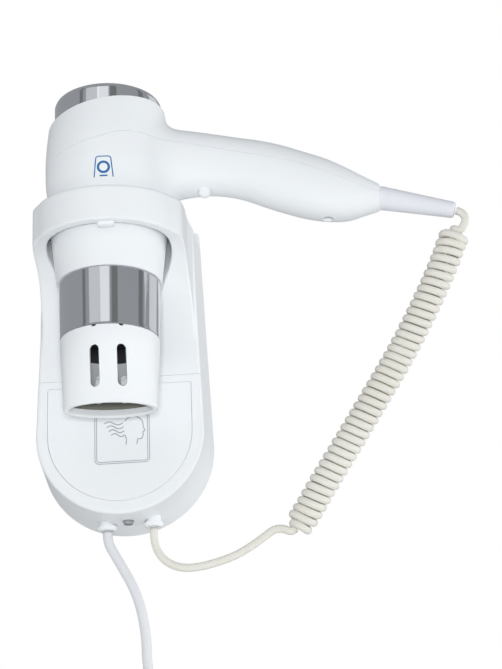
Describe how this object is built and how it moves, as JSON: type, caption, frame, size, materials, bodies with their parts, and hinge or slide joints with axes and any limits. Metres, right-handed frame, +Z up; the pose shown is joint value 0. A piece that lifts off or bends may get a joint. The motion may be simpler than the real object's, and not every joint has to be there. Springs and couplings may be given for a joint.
{
  "type": "wall-mounted hair dryer",
  "caption": "Wall-hung hair dryer: the handset hangs nozzle-down in a ring on a rounded wall base, with a curly cord between them and a mains lead with a plug.",
  "frame": {"origin": "on the back face of the back plate, which lies against the wall, straight behind the barrel axis", "axes": "+Y into the wall, +X to the right of someone facing the dryer, +Z up; the dryer stands out towards -Y"},
  "size_m": [0.2779, 0.1265, 0.5178],
  "materials": {
    "white_plastic": "glossy white ABS, slightly cool",
    "sleeve_plastic": "satin white with a lavender cast",
    "chrome": "mirror chrome plating",
    "dark_plastic": "satin black",
    "steel": "plated steel",
    "brass": "nickel-plated brass",
    "mica": "pressed mica board",
    "heater_wire": "resistance wire",
    "circuit_board": "green circuit board",
    "curly_cord": "satin cream cord sheath",
    "mains_lead": "satin white-grey cord sheath and plug"
  },
  "bodies": {
    "base": {"upper_cover": "white_plastic", "lower_cover": "white_plastic", "pictogram_panel": "white_plastic", "back_plate": "white_plastic", "cover_screw": "steel", "mains_gland": "white_plastic", "curly_gland": "white_plastic", "mains_cord_clamp": "dark_plastic", "curly_cord_clamp": "dark_plastic", "terminal_block": "white_plastic", "dock_switch": "dark_plastic", "curly_cord_coil": "curly_cord", "curly_cord_tail": "curly_cord", "mains_lead": "mains_lead", "mains_lead_coil": "mains_lead", "mains_lead_tie": "dark_plastic", "mains_lead_end": "mains_lead", "plug_body": "mains_lead", "plug_pin_left": "brass", "plug_pin_right": "brass"},
    "handset": {"front_housing": "white_plastic", "rear_cover": "white_plastic", "handle_screw": "steel", "inlet_cap": "chrome", "inlet_grille": "dark_plastic", "inlet_filter": "dark_plastic", "outlet_tube": "chrome", "outlet_grille": "dark_plastic", "mica_liner": "mica", "mica_cross": "mica", "heater_coil": "heater_wire", "thermostat": "brass", "thermal_fuse": "steel", "rectifier_board": "circuit_board", "motor": "steel", "motor_holder": "dark_plastic", "microswitch": "dark_plastic", "button_spring": "steel", "handset_cord_clamp": "dark_plastic", "cord_sleeve": "sleeve_plastic", "curly_cord_top": "curly_cord"},
    "nozzle_carrier": {"nozzle_clip_ring": "dark_plastic"},
    "nozzle": {"nozzle": "white_plastic", "nozzle_liner": "mica"},
    "rotor": {"fan": "dark_plastic", "motor_shaft": "steel"},
    "button": {"push_button": "white_plastic"},
    "switch_actuator": {"switch_plunger": "sleeve_plastic"},
    "dock_actuator": {"dock_plunger": "sleeve_plastic"}
  },
  "joints": [
    {"name": "handset_lift", "type": "slide", "parent": "base", "child": "handset", "axis": [0, 0, 1], "range_m": [0, 0.15]},
    {"name": "nozzle_pull", "type": "slide", "parent": "handset", "child": "nozzle_carrier", "axis": [0, 0, -1], "range_m": [0, 0.02]},
    {"name": "nozzle_turn", "type": "hinge", "parent": "nozzle_carrier", "child": "nozzle", "pos_m": [0, -0.081, -0.0245], "axis": [0, 0, 1], "continuous": true},
    {"name": "fan_spin", "type": "hinge", "parent": "handset", "child": "rotor", "pos_m": [0, -0.081, 0.112], "axis": [0, 0, 1], "continuous": true},
    {"name": "button_press", "type": "slide", "parent": "handset", "child": "button", "axis": [0, 0, 1], "range_m": [0, 0.0025], "stiffness_N_per_m": 600, "springref_m": -0.0015, "deforming": ["button_spring"]},
    {"name": "switch_press", "type": "slide", "parent": "handset", "child": "switch_actuator", "axis": [0, 0, 1], "range_m": [0, 0.0025]},
    {"name": "dock_release", "type": "slide", "parent": "base", "child": "dock_actuator", "axis": [0, -1, 0], "range_m": [0, 0.002]}
  ],
  "couplings": [
    {"joint": "switch_press", "follows": "button_press", "ratio": 1},
    {"joint": "dock_release", "follows": "handset_lift", "ratio": 0.013}
  ]
}
